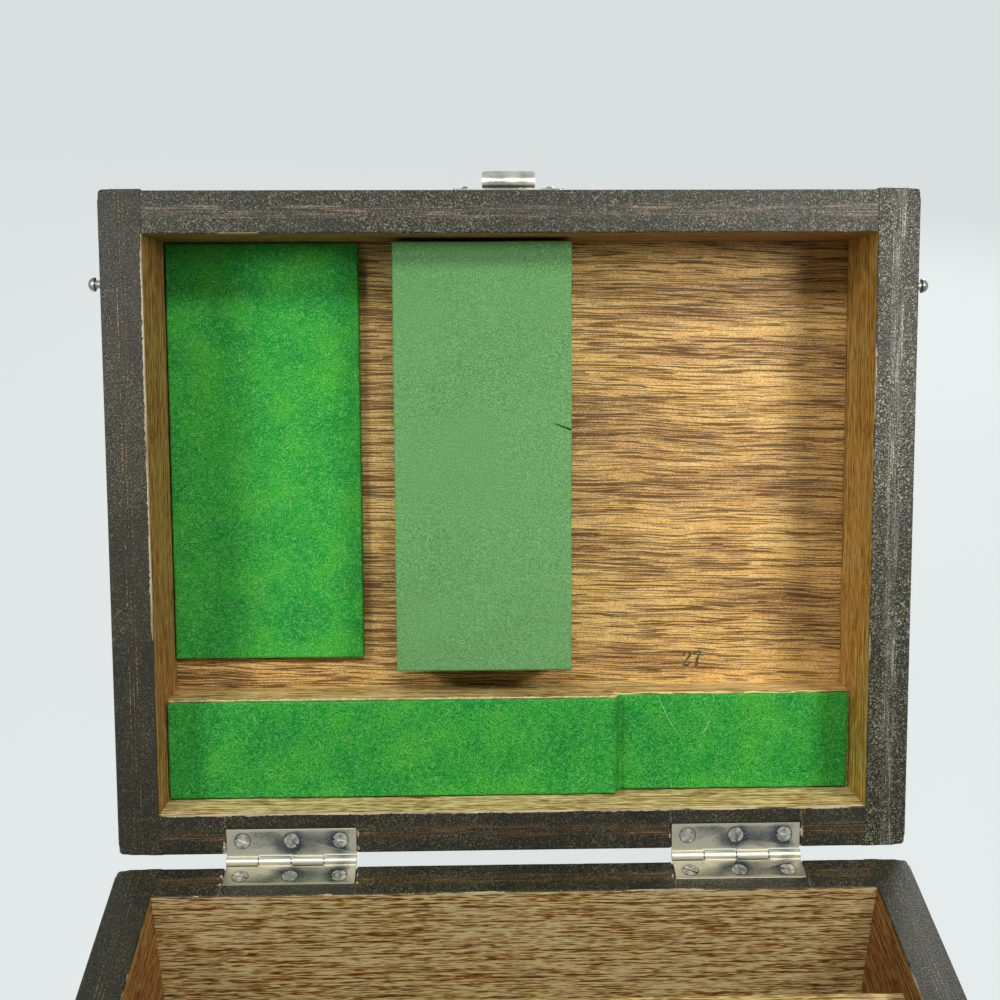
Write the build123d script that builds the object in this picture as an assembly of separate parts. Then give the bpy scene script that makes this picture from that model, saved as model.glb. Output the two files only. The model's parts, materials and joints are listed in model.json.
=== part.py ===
from build123d import *
import math
import os

# A small plywood case for microscope accessories, in millimetres.
# The origin is the centre of the underside. +Z is up and the hinges are on the +Y side.
# The lid's pieces are drawn closed and then turned about the hinge pins to where the lid stands.

# The case
case_width = 232.0
case_depth = 192.0
body_height = 78.0
lid_height = 36.5
wall_thickness = 12.0
lid_panel_thickness = 5.0
bottom_panel_thickness = 6.0
corner_radius = 1.3
panel_edge_radius = 1.0
front_wall_set_back = 0.4
seam_gap = 0.3
lid_opening_deg = 110.0

# Butt hinges, let into both rims
hinge_length = 38.0
hinge_inset = 31.5
hinge_set_off = 2.3
leaf_width = 9.7
leaf_thickness = 1.0
barrel_radius = 1.6
hinge_pin_radius = 0.85
knuckle_count = 4
knuckle_gap = 0.4
mortise_clearance = 0.2

# Countersunk hinge screws
hinge_screw_pitch = 14.3
hinge_screw_reach = 6.2
hinge_screw_head_radius = 2.35
hinge_screw_radius = 1.2
hinge_screw_length = 10.0
screw_slot_width = 0.6
screw_slot_depth = 0.55
hinge_slot_turns_deg = {
    "left_lid": (22, 42, 4),
    "right_lid": (62, 78, 8),
    "left_body": (14, 70, 170),
    "right_body": (30, 84, 12),
}

# Batten along the hinge side of the lid, with one felt strip over its step
batten_depth = 30.4
batten_tall = 15.9
batten_low = 11.7
batten_step_from_left = 135.1
batten_felt_thickness = 2.0
batten_felt_end_gap = 0.7

# Pads glued to the lid's panel, cut to stop short of the batten and, the foam, of the front wall
felt_pad_width = 58.2
felt_pad_gap = 9.7
felt_pad_thickness = 3.0
foam_pad_width = 52.5
foam_pad_gap = 8.6
foam_pad_front_gap = 1.2
foam_pad_thickness = 18.1
foam_pad_from_left = 69.3

# Boards and felt inside the body
divider_thickness = 6.0
divider_drop = 10.0
left_divider_from_left = 60.7
right_divider_from_left = 124.5
floor_felt_thickness = 2.0

# Keeper on the front of the lid
catch_off_centre = -0.9
keeper_width = 31.4
keeper_height = 13.0
keeper_above_rim = 4.0
plate_thickness = 0.8
lip_width = 15.0
lip_inner_radius = 1.8
lip_turn_deg = 140.0
lip_length = 2.0
lip_drop = 0.4
lip_corner_radius = 1.2
keeper_screw_spread = 12.1
keeper_screw_above_rim = 9.5
keeper_slot_turns_deg = (65, 10)

# Round-head screws of the front catch
round_head_radius = 1.65
round_head_height = 1.25
round_screw_radius = 1.0
round_screw_length = 8.0

# Catch on the front of the body
base_width = 34.0
base_height = 30.0
base_below_rim = 10.0
base_screw_spread = 13.5
base_screw_margin = 5.0
base_slot_turn_deg = 25
ear_thickness = 0.8
ear_radius = 2.5
lever_pivot_out = 4.6
lever_pivot_below_rim = 15.5
lever_pin_radius = 1.0
lever_width = 12.4
lever_sheet = 0.9
lever_height = 22.5
lever_cheek_height = 18.0
lever_front_out = 7.2
lever_pivot_boss = 2.3
lever_tip_lift = 2.0
bail_pivot_in = 0.7
bail_pivot_drop = 6.0
bail_wire_radius = 0.8
bail_bend_radius = 2.4
bail_end_bend_radius = 1.6
bail_seat_clearance = 0.4

# Side hooks and the studs that they take
left_stud_inset = 26.0
right_stud_inset = 27.2
stud_above_rim = 8.0
stud_radius = 1.15
stud_stand_off = 3.2
stud_head_radius = 2.05
stud_head_height = 2.0
stud_depth_in_wood = 8.0
stud_slot_turn_deg = 90
hook_pivot_below_rim = 22.0
hook_thickness = 1.5
hook_eye_radius = 4.2
hook_arm_width = 5.0
hook_head_radius = 4.4
hook_tail = 4.0
hook_screw_radius = 1.3
hook_screw_head_radius = 2.8
hook_screw_head_height = 1.9
hook_screw_depth_in_wood = 9.0
hook_slot_turn_deg = 35
washer_thickness = 0.8
washer_radius = 3.4

# Clearances
running_fit = 0.05
fixed_fit = 0.02
screw_hole_clearance = 0.05
soft_clearance = 0.3
ear_clearance = 0.4
bail_side_clearance = 0.6
hook_side_clearance = 0.25
notch_clearance = 0.35
edge_tolerance = 0.01

# Places worked out from the values above
half_width = case_width / 2
half_depth = case_depth / 2
inner_half_width = half_width - wall_thickness
back_inner_y = half_depth - wall_thickness
front_face_y = -half_depth + front_wall_set_back
front_inner_y = front_face_y + wall_thickness
body_rim_z = body_height
lid_rim_z = body_height + seam_gap
lid_top_z = lid_rim_z + lid_height
panel_face_z = lid_top_z - lid_panel_thickness
hinge_y = half_depth + hinge_set_off
hinge_z = body_rim_z + seam_gap / 2
hinge_centres = (
    -half_width + hinge_inset + hinge_length / 2,
    half_width - hinge_inset - hinge_length / 2,
)
hinge_names = ("left", "right")
lever_pivot_z = body_rim_z - lever_pivot_below_rim
bail_pivot_out = lever_pivot_out - bail_pivot_in
bail_pivot_z = lever_pivot_z - bail_pivot_drop
lip_outer_radius = lip_inner_radius + plate_thickness
lip_centre_z = lid_rim_z + keeper_above_rim - lip_drop + lip_outer_radius
seat_z = lip_centre_z - lip_inner_radius + bail_wire_radius + bail_seat_clearance
bail_length = math.hypot(seat_z - bail_pivot_z, lip_outer_radius - bail_pivot_out)
hook_plane = washer_thickness + hook_side_clearance
hook_reach = lid_rim_z + stud_above_rim - (body_rim_z - hook_pivot_below_rim)
stud_places = {
    "left": (-1, -half_depth + left_stud_inset),
    "right": (1, -half_depth + right_stud_inset),
}


def block(x_from, x_to, y_from, y_to, z_from, z_to):
    """A rectangular solid between two corners."""
    size = (x_to - x_from, y_to - y_from, z_to - z_from)
    return Pos(x_from, y_from, z_from) * Box(*size, align=(Align.MIN, Align.MIN, Align.MIN))


def rod(radius, length, place, direction):
    """A round rod of a given length that starts at a place and runs along a direction."""
    frame = Plane(origin=place, z_dir=direction)
    return frame * Cylinder(radius, length, align=(Align.CENTER, Align.CENTER, Align.MIN))


def opened(piece):
    """A piece of the lid, turned about the hinge pins from closed to where the lid stands."""
    return piece.rotate(Axis((0, hinge_y, hinge_z), (-1, 0, 0)), lid_opening_deg)


def write(name, piece):
    """Write one piece, or one group of like fasteners, to its own file."""
    export_step(piece, os.path.join("parts", name + ".step"))


def group(pieces):
    """Several separate solids that share one node."""
    return Compound(children=pieces)


def countersunk_screw(place, into, turn_deg):
    """A slotted countersunk screw with its head's top at a place, driven along a direction."""
    cone_height = hinge_screw_head_radius - hinge_screw_radius
    frame = Plane(origin=place, z_dir=into) * Rot(0, 0, turn_deg)
    start = (Align.CENTER, Align.CENTER, Align.MIN)
    head = Cone(hinge_screw_head_radius, hinge_screw_radius, cone_height, align=start)
    shank = Cylinder(hinge_screw_radius, hinge_screw_length, align=start)
    slot = Box(2 * hinge_screw_head_radius, screw_slot_width, screw_slot_depth, align=start)
    return frame * (head + shank - slot)


def countersunk_hole(place, into):
    """The hole that a countersunk screw fills, with clearance all round."""
    wide = hinge_screw_head_radius + screw_hole_clearance
    narrow = hinge_screw_radius + screw_hole_clearance
    start = (Align.CENTER, Align.CENTER, Align.MIN)
    head = Cone(wide, narrow, wide - narrow, align=start)
    depth = hinge_screw_length + screw_hole_clearance
    return Plane(origin=place, z_dir=into) * (head + Cylinder(narrow, depth, align=start))


def dome(radius, height, place, outward):
    """A low dome that stands on a face: the cap of a ball, cut at its base."""
    ball = (radius ** 2 + height ** 2) / (2 * height)
    start = (Align.CENTER, Align.CENTER, Align.MIN)
    cap = Sphere(ball) & (Pos(0, 0, ball - height) * Cylinder(radius, 2 * height, align=start))
    return Plane(origin=place, z_dir=outward) * (Pos(0, 0, height - ball) * cap)


def round_head_screw(place, outward, sizes, turn_deg):
    """A slotted round-head screw whose head stands on a face at a place."""
    head_radius, head_height, shank_radius, shank_length = sizes
    head = dome(head_radius, head_height, place, outward)
    shank = rod(shank_radius, shank_length, place, tuple(-part for part in outward))
    frame = Plane(origin=place, z_dir=outward) * Rot(0, 0, turn_deg)
    cut = Box(2 * head_radius, screw_slot_width, head_height, align=(Align.CENTER, Align.CENTER, Align.MIN))
    slot = frame * (Pos(0, 0, head_height - screw_slot_depth) * cut)
    return head + shank - slot


catch_screw_sizes = (round_head_radius, round_head_height, round_screw_radius, round_screw_length)


def front_plane(face_y, z_level):
    """A plane across the catch: its first axis points out of the front, its second up."""
    return Plane(origin=(catch_off_centre, face_y, z_level), x_dir=(0, -1, 0), z_dir=(-1, 0, 0))


def hinge_screw_places(hinge_x, face_z):
    """Where the three screws of a hinge leaf sit, as drawn with the lid closed."""
    y = hinge_y - hinge_screw_reach
    return [(hinge_x + step * hinge_screw_pitch, y, face_z) for step in (-1, 0, 1)]


def knuckle_spans(hinge_x):
    """The start and end of each knuckle along a hinge, from the left."""
    length = (hinge_length - (knuckle_count - 1) * knuckle_gap) / knuckle_count
    start = hinge_x - hinge_length / 2
    pitch = length + knuckle_gap
    return [(start + i * pitch, start + i * pitch + length) for i in range(knuckle_count)]


def mortise(hinge_x, rim_z, into):
    """The shallow seat that a leaf lies in. It is open towards the back and the rim."""
    reach = hinge_length / 2 + mortise_clearance
    y_from = hinge_y - leaf_width - mortise_clearance
    z_edges = sorted((rim_z, rim_z + into * leaf_thickness))
    return block(hinge_x - reach, hinge_x + reach, y_from, half_depth, *z_edges)


def hinge_leaf(hinge_x, rim_z, into, own_knuckles, pin_clearance):
    """One leaf with its knuckles. It is notched clear of the other leaf's knuckles."""
    first = hinge_x - hinge_length / 2
    last = hinge_x + hinge_length / 2
    z_edges = sorted((rim_z, rim_z + into * leaf_thickness))
    leaf = block(first, last, hinge_y - leaf_width, hinge_y, *z_edges)
    spans = knuckle_spans(hinge_x)
    for index, (x_from, x_to) in enumerate(spans):
        if index % 2 == own_knuckles:
            leaf += rod(barrel_radius, x_to - x_from, (x_from, hinge_y, hinge_z), (1, 0, 0))
    for index, (x_from, x_to) in enumerate(spans):
        if index % 2 != own_knuckles:
            low = x_from - knuckle_gap
            high = x_to + knuckle_gap
            notch = rod(barrel_radius + knuckle_gap, high - low, (low, hinge_y, hinge_z), (1, 0, 0))
            leaf -= notch
    bore = hinge_pin_radius + pin_clearance
    leaf -= rod(bore, hinge_length, (first, hinge_y, hinge_z), (1, 0, 0))
    for place in hinge_screw_places(hinge_x, rim_z):
        leaf -= countersunk_hole(place, (0, 0, into))
    return leaf


def side_wall(side, z_from, z_to):
    """A side wall runs the full depth of the case and has its outer corners rounded."""
    x_edges = sorted((side * inner_half_width, side * half_width))
    wall = block(*x_edges, -half_depth, half_depth, z_from, z_to)
    outer_x = half_width - edge_tolerance
    outer = [e for e in wall.edges().filter_by(Axis.Z) if abs(e.center().X) > outer_x]
    return fillet(outer, corner_radius)


def front_wall(z_from, z_to):
    """The front wall stands between the side walls, a little back from their ends."""
    return block(-inner_half_width, inner_half_width, front_face_y, front_inner_y, z_from, z_to)


def back_wall(z_from, z_to, rim_z, into):
    """The back wall, with a seat and screw holes for each hinge leaf in its rim."""
    wall = block(-inner_half_width, inner_half_width, back_inner_y, half_depth, z_from, z_to)
    for hinge_x in hinge_centres:
        wall -= mortise(hinge_x, rim_z, into)
        for place in hinge_screw_places(hinge_x, rim_z):
            wall -= countersunk_hole(place, (0, 0, into))
    return wall


def cover_panel(z_from, z_to, outer_z):
    """A thin panel over the walls. Its corners match theirs and its outer edges are eased."""
    panel = block(-half_width, half_width, -half_depth, half_depth, z_from, z_to)
    panel = fillet(panel.edges().filter_by(Axis.Z), corner_radius)
    rim = [e for e in panel.edges() if abs(e.center().Z - outer_z) < edge_tolerance]
    return fillet(rim, panel_edge_radius)


# Body walls, with the holes that the catch and the side hooks are screwed into
def base_screw_places():
    """Where the four screws of the catch base sit on the front face of the body."""
    top = body_rim_z - base_below_rim - base_screw_margin
    low = body_rim_z - base_below_rim - base_height + base_screw_margin
    y = front_face_y - plate_thickness
    return [(catch_off_centre + s * base_screw_spread, y, z) for s in (-1, 1) for z in (low, top)]


def keeper_screw_places():
    """Where the two screws of the keeper sit on the front face of the lid."""
    z = lid_rim_z + keeper_screw_above_rim
    y = front_face_y - plate_thickness
    return [(catch_off_centre + s * keeper_screw_spread, y, z) for s in (-1, 1)]


catch_hole_radius = round_screw_radius + screw_hole_clearance
catch_hole_length = round_screw_length + screw_hole_clearance
body_front = front_wall(bottom_panel_thickness, body_rim_z)
for place in base_screw_places():
    body_front -= rod(catch_hole_radius, catch_hole_length, place, (0, 1, 0))

hook_pivot_z = body_rim_z - hook_pivot_below_rim
hook_hole_radius = hook_screw_radius + screw_hole_clearance


def body_side(side, pivot_y):
    """A side wall of the body with the hole for its hook's pivot screw."""
    wall = side_wall(side, bottom_panel_thickness, body_rim_z)
    depth = hook_screw_depth_in_wood + screw_hole_clearance
    return wall - rod(hook_hole_radius, depth, (side * half_width, pivot_y, hook_pivot_z), (-side, 0, 0))


# Boards inside the body: a long one under the batten's front, and two across the front space
divider_top = body_rim_z - divider_drop
long_divider_back_y = back_inner_y - batten_depth
long_divider_front_y = long_divider_back_y - divider_thickness
left_divider_x = -inner_half_width + left_divider_from_left
right_divider_x = -inner_half_width + right_divider_from_left


def cross_divider(x_from):
    """A board between the front wall and the long divider."""
    x_to = x_from + divider_thickness
    return block(x_from, x_to, front_inner_y, long_divider_front_y, bottom_panel_thickness, divider_top)


def floor_felt(x_from, x_to, y_from, y_to):
    """A felt liner on the floor of a bay, cut a little smaller than the bay."""
    top = bottom_panel_thickness + floor_felt_thickness
    x_edges = (x_from + soft_clearance, x_to - soft_clearance)
    y_edges = (y_from + soft_clearance, y_to - soft_clearance)
    return block(*x_edges, *y_edges, bottom_panel_thickness, top)


# Half of the catch that is on the body
def catch_base():
    """The base plate, with two ears that carry the lever's pin."""
    z_high = body_rim_z - base_below_rim
    x_edges = (catch_off_centre - base_width / 2, catch_off_centre + base_width / 2)
    plate = block(*x_edges, front_face_y - plate_thickness, front_face_y, z_high - base_height, z_high)
    ear_inner = lever_width / 2 + ear_clearance
    ear_frame = front_plane(front_face_y, lever_pivot_z)
    foot = Pos(lever_pivot_out / 2, 0) * Rectangle(lever_pivot_out, 2 * ear_radius)
    outline = foot + Pos(lever_pivot_out, 0) * Circle(ear_radius)
    outline -= Pos(lever_pivot_out, 0) * Circle(lever_pin_radius + fixed_fit)
    for side in (-1, 1):
        start = side * (ear_inner + ear_thickness / 2)
        ear = ear_frame * Pos(0, 0, start) * extrude(outline, ear_thickness / 2, both=True)
        plate += ear
    for place in base_screw_places():
        plate -= rod(catch_hole_radius, 2 * plate_thickness, place, (0, 1, 0))
    return plate


def catch_lever():
    """A pressed channel: two cheeks and a front sheet, with a lifted finger end."""
    frame = front_plane(front_face_y, lever_pivot_z)
    front_in = lever_front_out - lever_sheet
    boss = Pos(lever_pivot_out, 0) * Circle(lever_pivot_boss)
    pivot_x = bail_pivot_out
    cheek_points = [
        (lever_pivot_out - lever_pivot_boss, 0),
        (pivot_x - lever_pivot_boss, -bail_pivot_drop),
        (pivot_x - lever_pivot_boss / 2, -bail_pivot_drop - lever_pivot_boss),
        (front_in, -lever_cheek_height),
        (front_in, lever_pivot_boss / 2),
        (lever_pivot_out, lever_pivot_boss),
    ]
    cheek = make_face(Polyline(*cheek_points, close=True)) + boss
    cheek -= Pos(lever_pivot_out, 0) * Circle(lever_pin_radius + running_fit)
    cheek -= Pos(pivot_x, -bail_pivot_drop) * Circle(bail_wire_radius + running_fit)
    front_points = [
        (front_in, lever_pivot_boss / 2),
        (front_in, -lever_height),
        (front_in + lever_tip_lift, -lever_height - lever_tip_lift),
        (lever_front_out + lever_tip_lift, -lever_height - lever_tip_lift + lever_sheet / 2),
        (lever_front_out, -lever_height + lever_sheet / 2),
        (lever_front_out, lever_pivot_boss / 2),
    ]
    lever = extrude(make_face(Polyline(*front_points, close=True)), lever_width / 2, both=True)
    for side in (-1, 1):
        start = side * (lever_width / 2 - lever_sheet / 2)
        lever += Pos(0, 0, start) * extrude(cheek, lever_sheet / 2, both=True)
    return frame * lever


def catch_lever_pin():
    """The lever's pin, from the outer face of one ear to that of the other."""
    half = lever_width / 2 + ear_clearance + ear_thickness
    start = (catch_off_centre - half, front_face_y - lever_pivot_out, lever_pivot_z)
    return rod(lever_pin_radius, 2 * half, start, (1, 0, 0))


def catch_bail():
    """A bent wire loop. It hangs from the lever with its cross bar at the bottom."""
    leg_x = lip_width / 2 + bail_side_clearance + bail_wire_radius
    end_x = lever_width / 2 - lever_sheet - ear_clearance
    y = front_face_y - bail_pivot_out
    low = bail_pivot_z - bail_length
    corners = [
        (catch_off_centre - end_x, y, bail_pivot_z),
        (catch_off_centre - leg_x, y, bail_pivot_z),
        (catch_off_centre - leg_x, y, low),
        (catch_off_centre + leg_x, y, low),
        (catch_off_centre + leg_x, y, bail_pivot_z),
        (catch_off_centre + end_x, y, bail_pivot_z),
    ]
    bends = [bail_end_bend_radius, bail_bend_radius, bail_bend_radius, bail_end_bend_radius]
    path = FilletPolyline(*corners, radius=bends)
    section = Plane(origin=corners[0], z_dir=(-1, 0, 0)) * Circle(bail_wire_radius)
    return sweep(section, path)


def keeper():
    """The keeper plate. Its middle tongue curls out and up into a lip that holds the bail."""
    x_edges = (catch_off_centre - keeper_width / 2, catch_off_centre + keeper_width / 2)
    z_low = lid_rim_z + keeper_above_rim
    plate = block(*x_edges, front_face_y - plate_thickness, front_face_y, z_low, z_low + keeper_height)
    upright = [e for e in plate.edges().filter_by(Axis.Y)]
    plate = fillet(upright, lip_corner_radius)
    centre = (lip_outer_radius, 0)
    end = math.radians(180 + lip_turn_deg)
    along = (-math.sin(end), math.cos(end))
    outer_end = (centre[0] + lip_outer_radius * math.cos(end), lip_outer_radius * math.sin(end))
    inner_end = (centre[0] + lip_inner_radius * math.cos(end), lip_inner_radius * math.sin(end))
    outer_tip = tuple(outer_end[i] + lip_length * along[i] for i in (0, 1))
    inner_tip = tuple(inner_end[i] + lip_length * along[i] for i in (0, 1))
    top = keeper_height / 2
    outline = [
        Line((0, top), (0, 0)),
        CenterArc(centre, lip_outer_radius, 180, lip_turn_deg),
        Polyline(outer_end, outer_tip, inner_tip, inner_end),
        CenterArc(centre, lip_inner_radius, 180 + lip_turn_deg, -lip_turn_deg),
        Polyline((plate_thickness, 0), (plate_thickness, top), (0, top)),
    ]
    tongue = extrude(make_face(outline), lip_width / 2, both=True)
    tip_edges = [
        e for e in tongue.edges()
        if abs(e.length - plate_thickness) < edge_tolerance and e.center().X > outer_end[0]
        and abs(abs(e.center().Z) - lip_width / 2) < edge_tolerance
    ]
    tongue = fillet(tip_edges, lip_corner_radius)
    plate += front_plane(front_face_y, lip_centre_z) * tongue
    for place in keeper_screw_places():
        plate -= rod(catch_hole_radius, 2 * plate_thickness, place, (0, 1, 0))
    return plate


# Side hooks
def hook(side, pivot_y):
    """A flat hook, drawn up on its stud with its notch open to the front, then hung down."""
    arm = Pos(0, hook_reach / 2) * Rectangle(hook_arm_width, hook_reach)
    head = Pos(0, hook_reach) * Circle(hook_head_radius)
    tail_centre = Pos(0, hook_reach + hook_head_radius)
    tail = tail_centre * SlotCenterToCenter(2 * hook_tail, hook_arm_width, rotation=90)
    flat = Circle(hook_eye_radius) + arm + head + tail
    flat -= Circle(hook_screw_radius + running_fit)
    half_notch = stud_radius + notch_clearance
    mouth = Pos(-hook_head_radius, hook_reach) * Rectangle(2 * hook_head_radius, 2 * half_notch)
    flat -= mouth + Pos(0, hook_reach) * Circle(half_notch)
    inner_x = side * (half_width + hook_plane)
    frame = Plane(origin=(inner_x, pivot_y, hook_pivot_z), x_dir=(0, 1, 0), z_dir=(1, 0, 0))
    latched = frame * extrude(flat, side * hook_thickness)
    return latched.rotate(Axis((inner_x, pivot_y, hook_pivot_z), (1, 0, 0)), 180)


def hook_washer(side, pivot_y):
    """A plain washer between the hook and the wall."""
    start = (side * half_width, pivot_y, hook_pivot_z)
    ring = rod(washer_radius, washer_thickness, start, (side, 0, 0))
    return ring - rod(hook_hole_radius, washer_thickness, start, (side, 0, 0))


def hook_screw(side, pivot_y):
    """The round-head screw that a hook turns on."""
    head_out = hook_plane + hook_thickness + hook_side_clearance
    place = (side * (half_width + head_out), pivot_y, hook_pivot_z)
    length = head_out + hook_screw_depth_in_wood
    sizes = (hook_screw_head_radius, hook_screw_head_height, hook_screw_radius, length)
    return round_head_screw(place, (side, 0, 0), sizes, hook_slot_turn_deg)


def lid_front():
    """The front wall of the lid with the holes for the keeper's screws."""
    wall = front_wall(lid_rim_z, panel_face_z)
    for place in keeper_screw_places():
        wall -= rod(catch_hole_radius, catch_hole_length, place, (0, 1, 0))
    return wall


def lid_side(side, stud_y):
    """A side wall of the lid with the hole for its stud."""
    wall = side_wall(side, lid_rim_z, panel_face_z)
    depth = stud_depth_in_wood + screw_hole_clearance
    place = (side * half_width, stud_y, lid_rim_z + stud_above_rim)
    return wall - rod(stud_radius + screw_hole_clearance, depth, place, (-side, 0, 0))


def stud(side, stud_y):
    """A round-head screw left standing out of the wall, for a hook to catch."""
    place = (side * (half_width + stud_stand_off), stud_y, lid_rim_z + stud_above_rim)
    sizes = (stud_head_radius, stud_head_height, stud_radius, stud_stand_off + stud_depth_in_wood)
    return round_head_screw(place, (side, 0, 0), sizes, stud_slot_turn_deg)


# The lid's batten and pads
batten_front_y = back_inner_y - batten_depth
batten_step_x = -inner_half_width + batten_step_from_left


def batten():
    """One wooden strip, higher to the left of its step than to the right."""
    tall = block(-inner_half_width, batten_step_x, batten_front_y, back_inner_y,
                 panel_face_z - batten_tall, panel_face_z)
    low = block(batten_step_x, inner_half_width, batten_front_y, back_inner_y,
                panel_face_z - batten_low, panel_face_z)
    return tall + low


def batten_felt():
    """One felt strip that lies on the batten and folds down its step."""
    turn_x = batten_step_x + batten_felt_thickness
    x_left = -inner_half_width + soft_clearance
    x_right = inner_half_width - batten_felt_end_gap
    y_edges = (batten_front_y, back_inner_y - soft_clearance)
    tall_z = panel_face_z - batten_tall
    low_z = panel_face_z - batten_low
    tall = block(x_left, batten_step_x, *y_edges, tall_z - batten_felt_thickness, tall_z)
    fold = block(batten_step_x, turn_x, *y_edges, tall_z - batten_felt_thickness, low_z)
    low = block(turn_x, x_right, *y_edges, low_z - batten_felt_thickness, low_z)
    return tall + fold + low


def lid_pad(x_from_left, width, front_gap, gap, thickness):
    """A pad glued to the panel, from a gap behind the front wall to a gap before the batten."""
    x_from = -inner_half_width + x_from_left
    y_edges = (front_inner_y + front_gap, batten_front_y - gap)
    return block(x_from, x_from + width, *y_edges, panel_face_z - thickness, panel_face_z)


os.makedirs("parts", exist_ok=True)

write("body_front_wall", body_front)
write("body_back_wall", back_wall(bottom_panel_thickness, body_rim_z, body_rim_z, -1))
write("body_bottom_panel", cover_panel(0, bottom_panel_thickness, 0))
write("long_divider", block(-inner_half_width, inner_half_width, long_divider_front_y,
                            long_divider_back_y, bottom_panel_thickness, divider_top))
write("left_divider", cross_divider(left_divider_x))
write("right_divider", cross_divider(right_divider_x))
write("back_bay_felt", floor_felt(-inner_half_width, inner_half_width, long_divider_back_y, back_inner_y))
bay_edges = {
    "left_bay_felt": (-inner_half_width, left_divider_x),
    "middle_bay_felt": (left_divider_x + divider_thickness, right_divider_x),
    "right_bay_felt": (right_divider_x + divider_thickness, inner_half_width),
}
for name, (x_from, x_to) in bay_edges.items():
    write(name, floor_felt(x_from, x_to, front_inner_y, long_divider_front_y))

write("lid_front_wall", opened(lid_front()))
write("lid_back_wall", opened(back_wall(lid_rim_z, panel_face_z, lid_rim_z, 1)))
write("lid_panel", opened(cover_panel(panel_face_z, lid_top_z, lid_top_z)))
write("lid_batten", opened(batten()))
write("batten_felt", opened(batten_felt()))
felt_pad = lid_pad(soft_clearance, felt_pad_width, soft_clearance, felt_pad_gap, felt_pad_thickness)
write("lid_felt_pad", opened(felt_pad))
foam_pad = lid_pad(foam_pad_from_left, foam_pad_width, foam_pad_front_gap, foam_pad_gap, foam_pad_thickness)
write("lid_foam_pad", opened(foam_pad))

for name, hinge_x in zip(hinge_names, hinge_centres):
    write(name + "_hinge_body_leaf", hinge_leaf(hinge_x, body_rim_z, -1, 1, fixed_fit))
    write(name + "_hinge_lid_leaf", opened(hinge_leaf(hinge_x, lid_rim_z, 1, 0, running_fit)))
    pin_start = (hinge_x - hinge_length / 2, hinge_y, hinge_z)
    write(name + "_hinge_pin", rod(hinge_pin_radius, hinge_length, pin_start, (1, 0, 0)))
    body_places = zip(hinge_screw_places(hinge_x, body_rim_z), hinge_slot_turns_deg[name + "_body"])
    body_screws = [countersunk_screw(place, (0, 0, -1), turn) for place, turn in body_places]
    write(name + "_hinge_body_screws", group(body_screws))
    lid_places = zip(hinge_screw_places(hinge_x, lid_rim_z), hinge_slot_turns_deg[name + "_lid"])
    lid_screws = [opened(countersunk_screw(place, (0, 0, 1), turn)) for place, turn in lid_places]
    write(name + "_hinge_lid_screws", group(lid_screws))

write("catch_base", catch_base())
write("catch_lever_pin", catch_lever_pin())
base_screws = [
    round_head_screw(place, (0, -1, 0), catch_screw_sizes, base_slot_turn_deg)
    for place in base_screw_places()
]
write("catch_base_screws", group(base_screws))
write("catch_lever", catch_lever())
write("catch_bail", catch_bail())
write("keeper", opened(keeper()))
keeper_screws = [
    opened(round_head_screw(place, (0, -1, 0), catch_screw_sizes, turn))
    for place, turn in zip(keeper_screw_places(), keeper_slot_turns_deg)
]
write("keeper_screws", group(keeper_screws))

for name, (side, stud_y) in stud_places.items():
    write("body_" + name + "_wall", body_side(side, stud_y))
    write("lid_" + name + "_wall", opened(lid_side(side, stud_y)))
    write(name + "_stud", opened(stud(side, stud_y)))
    write(name + "_hook", hook(side, stud_y))
    write(name + "_hook_washer", hook_washer(side, stud_y))
    write(name + "_hook_screw", hook_screw(side, stud_y))

print("bail length", round(bail_length, 3), "pivot out", bail_pivot_out, "seat", round(seat_z, 3))
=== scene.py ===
import itertools
import json
import math

import bmesh
import bpy
import numpy as np
from mathutils import Matrix, Vector

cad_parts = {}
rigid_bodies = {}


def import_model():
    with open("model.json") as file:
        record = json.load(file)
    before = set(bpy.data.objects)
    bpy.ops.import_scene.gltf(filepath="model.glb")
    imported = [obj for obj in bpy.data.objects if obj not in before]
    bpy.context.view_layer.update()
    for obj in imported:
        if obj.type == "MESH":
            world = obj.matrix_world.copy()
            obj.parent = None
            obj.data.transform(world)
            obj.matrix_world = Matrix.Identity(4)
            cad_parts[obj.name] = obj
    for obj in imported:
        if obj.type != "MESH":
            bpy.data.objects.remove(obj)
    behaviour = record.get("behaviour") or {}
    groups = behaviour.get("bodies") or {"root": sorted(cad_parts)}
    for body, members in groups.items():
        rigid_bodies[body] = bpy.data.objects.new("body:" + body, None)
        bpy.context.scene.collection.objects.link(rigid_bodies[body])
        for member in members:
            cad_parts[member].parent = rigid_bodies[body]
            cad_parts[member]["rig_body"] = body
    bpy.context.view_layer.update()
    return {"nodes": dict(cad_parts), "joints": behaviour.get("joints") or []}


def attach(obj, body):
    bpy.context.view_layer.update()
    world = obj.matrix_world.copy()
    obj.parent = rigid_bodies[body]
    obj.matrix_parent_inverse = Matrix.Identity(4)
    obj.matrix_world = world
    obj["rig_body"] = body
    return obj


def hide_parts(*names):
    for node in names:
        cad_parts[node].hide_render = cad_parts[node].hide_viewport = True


# A small plywood case for microscope accessories, with its lid open.
# Sizes are in millimetres as the case is drawn closed, unless a name says metres.
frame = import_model()

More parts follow.
